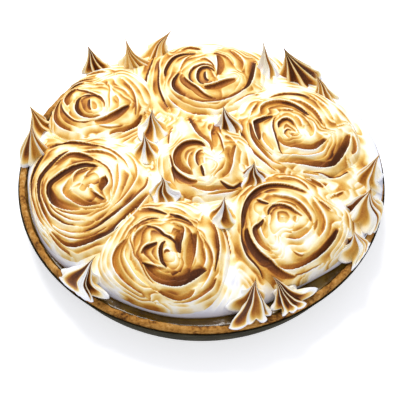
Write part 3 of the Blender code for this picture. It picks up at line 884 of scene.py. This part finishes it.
kisses = {
    "kiss_01": {"twist": 15, "tip": 0.35, "foot": 0.02, "wash": 0.2, "ridges": [
        (0, 12, 0.5), (80, 9, 0.4), (180, 10, 0.5), (232, 12, 0.75, -10), (275, 13, 0.75, -8), (320, 14, 0.75)]},
    "kiss_02": {"twist": 20, "tip": 0.4, "foot": 0.05, "wash": 0.12, "ridges": [
        (80, 10, 0.3), (150, 14, 0.3), (205, 16, 0.5, -15), (243, 15, 0.98, -25), (266, 12, 0.6, -15),
        (310, 14, 0.7), (350, 12, 0.5)]},
    "kiss_03": {"twist": 20, "tip": 0.6, "foot": 0.02, "pull": 1.7, "wash": 0.14, "ridges": [
        (60, 9, 0.3), (130, 9, 0.2), (180, 15, 0.02), (208, 10, 0.95), (262, 11, 1.1, 10), (300, 12, 1.0, 15),
        (345, 13, 0.5, 10)]},
    "kiss_04": {"twist": 50, "tip": 0.3, "foot": 0.02, "pull": 2.6, "wash": 0.2, "ridges": [
        (10, 18, 0.4), (70, 12, 0.2), (150, 12, 0.3), (228, 11, 0.35), (266, 10, 0.15), (286, 12, 0.55),
        (318, 17, 0.65), (345, 20, 0.55)]},
    "kiss_05": {"twist": 15, "tip": 0.05, "foot": 0.02, "wash": 0.16, "ridges": [
        (60, 9, 0.1), (140, 13, 0.35), (190, 20, 0.5, 10), (218, 18, 0.7, 10), (246, 14, 0.3), (272, 12, 0.5),
        (310, 10, 0.05)]},
    "kiss_06": {"twist": 10, "tip": 0.0, "foot": 0.02, "pull": 2.6, "ridges": [
        (60, 9, 0.1), (130, 9, 0.1), (200, 11, 0.05), (250, 13, 0.1), (280, 14, 0.75), (315, 12, 0.1)]},
    "kiss_07": {"twist": 70, "tip": 0.8, "foot": 0.02, "pull": 1.6, "wash": 0.2, "ridges": [
        (20, 20, 0.9, 30), (80, 12, 0.4), (170, 12, 0.5), (215, 15, 0.7), (262, 17, 1.15, 12), (298, 19, 1.15, 22),
        (328, 21, 1.15, 30), (354, 22, 1.1, 34)]},
    "kiss_08": {"twist": 20, "tip": 0.4, "foot": 0.02, "wash": 0.16, "ridges": [
        (60, 8, 0.4), (130, 8, 0.4), (210, 9, 0.5), (250, 12, 0.55), (288, 15, 0.8), (318, 15, 0.6), (350, 12, 0.4)]},
    "kiss_09": {"twist": 10, "tip": 0.6, "foot": 0.03, "ridges": [
        (45, 9, 0.5), (110, 9, 0.4), (180, 9, 0.1), (243, 12, 0.95, -8), (290, 12, 0.5), (325, 11, 0.7, 8)]},
    "kiss_10": {"twist": 5, "tip": 0.6, "foot": 0.03, "ridges": [
        (45, 8, 0.5), (120, 8, 0.4), (200, 9, 0.8), (256, 11, 0.03), (272, 11, 0.9), (318, 10, 0.7)]},
    "kiss_11": {"twist": 8, "tip": 0.45, "foot": 0.03, "ridges": [
        (45, 9, 0.3), (110, 9, 0.2), (185, 9, 0.05), (236, 12, 0.95, -5), (274, 13, 0.03), (286, 13, 0.95, 5),
        (328, 13, 0.45)]},
    "kiss_12": {"twist": 5, "tip": 0.75, "foot": 0.03, "ridges": [
        (60, 9, 0.4), (120, 9, 0.4), (165, 10, 0.75), (190, 10, 0.05), (232, 12, 0.95, -5), (269, 12, 0.98, 5),
        (308, 12, 0.03), (322, 12, 0.9), (350, 11, 0.4)]},
    "kiss_13": {"twist": 5, "tip": 0.65, "foot": 0.03, "ridges": [
        (50, 8, 0.4), (120, 8, 0.3), (200, 8, 0.75), (252, 11, 0.03), (270, 11, 0.95, 10), (335, 13, 0.5)]},
    "kiss_14": {"twist": 0, "tip": 0.3, "foot": 0.03, "ridges": [
        (60, 8, 0.3), (120, 8, 0.2), (180, 10, 0.45), (212, 9, 0.03), (234, 11, 0.9), (270, 11, 0.8), (306, 11, 0.03),
        (335, 11, 0.45)]},
    "kiss_15": {"twist": 15, "tip": 0.4, "foot": 0.05, "pull": 1.6, "ridges": [
        (20, 13, 0.15), (90, 10, 0.2), (165, 10, 0.35), (218, 11, 0.75, -10), (262, 11, 0.55, 10), (312, 13, 0.15)]},
    "kiss_16": {"twist": 20, "tip": 0.6, "foot": 0.04, "pull": 1.5, "wash": 0.1, "ridges": [
        (12, 18, 0.15, 10), (50, 15, 0.1), (105, 15, 0.05), (150, 20, 0.08), (170, 19, 0.95, -22), (204, 14, 0.05, -20),
        (216, 14, 0.6, -15), (262, 13, 0.05, 12), (272, 14, 0.9, 18), (298, 15, 0.05, 12), (308, 16, 0.6, 10),
        (342, 18, 0.5, 10)]},
    "kiss_17": {"twist": 15, "tip": 0.3, "foot": 0.04, "pull": 1.6, "wash": 0.08, "ridges": [
        (20, 12, 0.2), (110, 12, 0.1), (168, 13, 0.95, -15), (208, 13, 0.05, -10), (220, 15, 0.5, -10),
        (264, 18, 0.05, 10), (286, 21, 0.4, 12), (322, 13, 0.6, 10), (345, 18, 0.15, 5)]},
    "kiss_18": {"twist": 12, "tip": 0.7, "foot": 0.05, "ridges": [
        (60, 11, 0.3), (140, 14, 0.05), (192, 17, 0.8, -6), (228, 12, 0.1, -8), (244, 26, 1.2, -10),
        (259, 14, 0.8, -6), (294, 16, 1.2, 8), (325, 12, 0.7)]},
    "kiss_19": {"twist": 15, "tip": 0.45, "foot": 0.06, "ridges": [
        (20, 12, 0.15), (85, 13, 0.05), (150, 17, 0.05, -10), (196, 22, 1, -12), (236, 16, 0.05, 10),
        (256, 19, 1, 14), (280, 16, 1.15, 8), (338, 19, 0.4, -12)]},
    "kiss_20": {"twist": 15, "tip": 0.5, "foot": 0.05, "ridges": [
        (26, 21, 0.15, -5), (60, 12, 0.15), (135, 10, 0.3), (212, 11, 1.1), (262, 13, 1, 6), (300, 14, 1.15, 8),
        (332, 15, 1.1, 5)]},
}


def pullKiss(node, spec):
    look = kissLook
    low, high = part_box(node)
    middle = (low + high) / 2
    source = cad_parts[node].data
    tip = max((vert.co for vert in source.vertices), key=lambda co: co.z).copy()
    lean = Vector((tip.x - middle.x, tip.y - middle.y))
    outside = smooth(86 * mm, 102 * mm, math.hypot(middle.x, middle.y))
    foot = mix(swell(middle.x, middle.y) - look["below"], rimLevel - 1 * mm, outside)
    tall = tip.z - foot
    ridges = [(*ridge, 0)[:4] for ridge in spec["ridges"]]
    following = ridges[1:] + [(ridges[0][0] + 360, *ridges[0][1:])]
    per, rows = look["perTooth"], look["rows"]
    around = per * len(ridges)

    def place(column, row):
        share = row / rows
        across = (column % per) / per
        (first, near, tone, curl), (second, far, _, nextCurl) = ridges[column // per], following[column // per]
        turned = mix(first, second, across) - spec["twist"] * share ** 1.3
        turned += 1.5 * mix(curl, nextCurl, across) * math.sin(math.pi * share ** 0.8)
        turned += look["wiggle"] * ripple(share * 2.6, middle.x / mm / 7, middle.y / mm / 7) * smooth(0, 0.3, share)
        angle = math.radians(turned)
        above = max(share - look["belly"], 0) / (1 - look["belly"])
        body = (1 - above) ** spec.get("pull", look["pull"]) * 0.94 + 0.06 * (1 - above)
        body *= 1 - 0.3 * (1 - min(share / look["belly"], 1)) ** 2.2
        if row == 0 or row == rows:
            body = 0
        sharp = mix(1.7, 1.1, smooth(0.1, 0.5, share))
        hollow = math.sin(math.pi * across) ** sharp if across > 0 else 0
        hollow *= mix(smooth(0.05, 0.35, share), 1, outside)
        gap = min((second - first) / 45, 1)
        away = mix(near, far, smooth(0, 1, across)) * mm * body * (1 - look["hollow"] * gap * hollow)
        away *= 1 + 0.08 * ripple(2 * math.cos(angle), 2 * math.sin(angle), share * 4 + middle.x / mm)
        x = middle.x + away * math.cos(angle) + lean.x * share ** 2
        y = middle.y + away * math.sin(angle) + lean.y * share ** 2
        point = Vector((x, y, foot + tall * share))
        wide = math.hypot(x, y)
        start = look["hang"] - 5 * mm
        if wide > start:
            kept = start + 5 * mm * math.tanh((wide - start) / (5 * mm))
            point.x *= kept / wide
            point.y *= kept / wide
        # the toasted hollow, with a round lower end
        started = spec["foot"] + 0.02
        raised = smooth(started, started + 0.22, share)
        edge = mix(0.45, 0.26, raised)
        shade = look["tone"] * tone * raised ** 0.5 * smooth(0.02, edge, across) * smooth(0.02, edge, 1 - across)
        shade *= (1.1 + 0.5 * (0.5 - across)) * (0.9 + 0.3 * share)
        p = point / mm
        wash = spec.get("wash", 0.045) + 0.1 * ripple(p.x / 9, p.y / 9, p.z / 9)
        # towards the foot the toast falls to nothing, where the ramp paints lilac shade
        return point, (min(max(shade, wash * smooth(0, 0.25, share), spec["tip"] * smooth(0.8, 0.97, share)), 1),)

    bm = wrapGrid(around, rows, place)
    return finishPiece("pulled_" + node, bm, meringue, [node])


for node, spec in kisses.items():
    pullKiss(node, spec)
print("Kisses pulled")


def makeStage():
    bm = bmesh.new()
    bmesh.ops.create_grid(bm, x_segments=1, y_segments=1, size=3)
    mesh = bpy.data.meshes.new("floor")
    bm.to_mesh(mesh)
    bm.free()
    material, tree, shader = newMaterial("paleFloor")
    shader.inputs["Base Color"].default_value = (0.9, 0.9, 0.9, 1)
    shader.inputs["Roughness"].default_value = 0.8
    shader.inputs["Emission Color"].default_value = (1, 1, 1, 1)
    shader.inputs["Emission Strength"].default_value = 0.5
    mesh.materials.append(material)
    floor = bpy.data.objects.new("floor", mesh)
    bpy.context.scene.collection.objects.link(floor)


def addArea(name, place, aim, size, power):
    light = bpy.data.lights.new(name, "AREA")
    light.shape = "DISK"
    light.size = size
    light.energy = power
    lamp = bpy.data.objects.new(name, light)
    lamp.location = place
    lamp.rotation_euler = (Vector(place) - Vector(aim)).to_track_quat("Z", "Y").to_euler()
    bpy.context.scene.collection.objects.link(lamp)


makeStage()
addArea("overhead", (-0.15, 0.45, 0.85), (0, 0, 0), 0.5, 9)
addArea("front", (0.3, -0.9, 0.8), (0, 0, 0.03), 0.8, 3)
world = bpy.data.worlds.new("room")
world.use_nodes = True
world.node_tree.nodes["Background"].inputs["Color"].default_value = (0.88, 0.9, 1, 1)
world.node_tree.nodes["Background"].inputs["Strength"].default_value = 0.5
bpy.context.scene.world = world
bpy.context.scene.view_settings.view_transform = "Standard"

camera = {"height": 54, "distance": 0.55, "aim": (-0.0009, -0.0255), "lens": 77.7}
eye = bpy.data.objects.new("camera", bpy.data.cameras.new("camera"))
bpy.context.scene.collection.objects.link(eye)
raised = math.radians(camera["height"])
target = Vector((*camera["aim"], rimLevel))
eye.location = target + camera["distance"] * Vector((0, -math.cos(raised), math.sin(raised)))
eye.rotation_euler = (math.pi / 2 - raised, 0, 0)
eye.data.lens = camera["lens"]
eye.data.clip_start = 0.01
bpy.context.scene.camera = eye
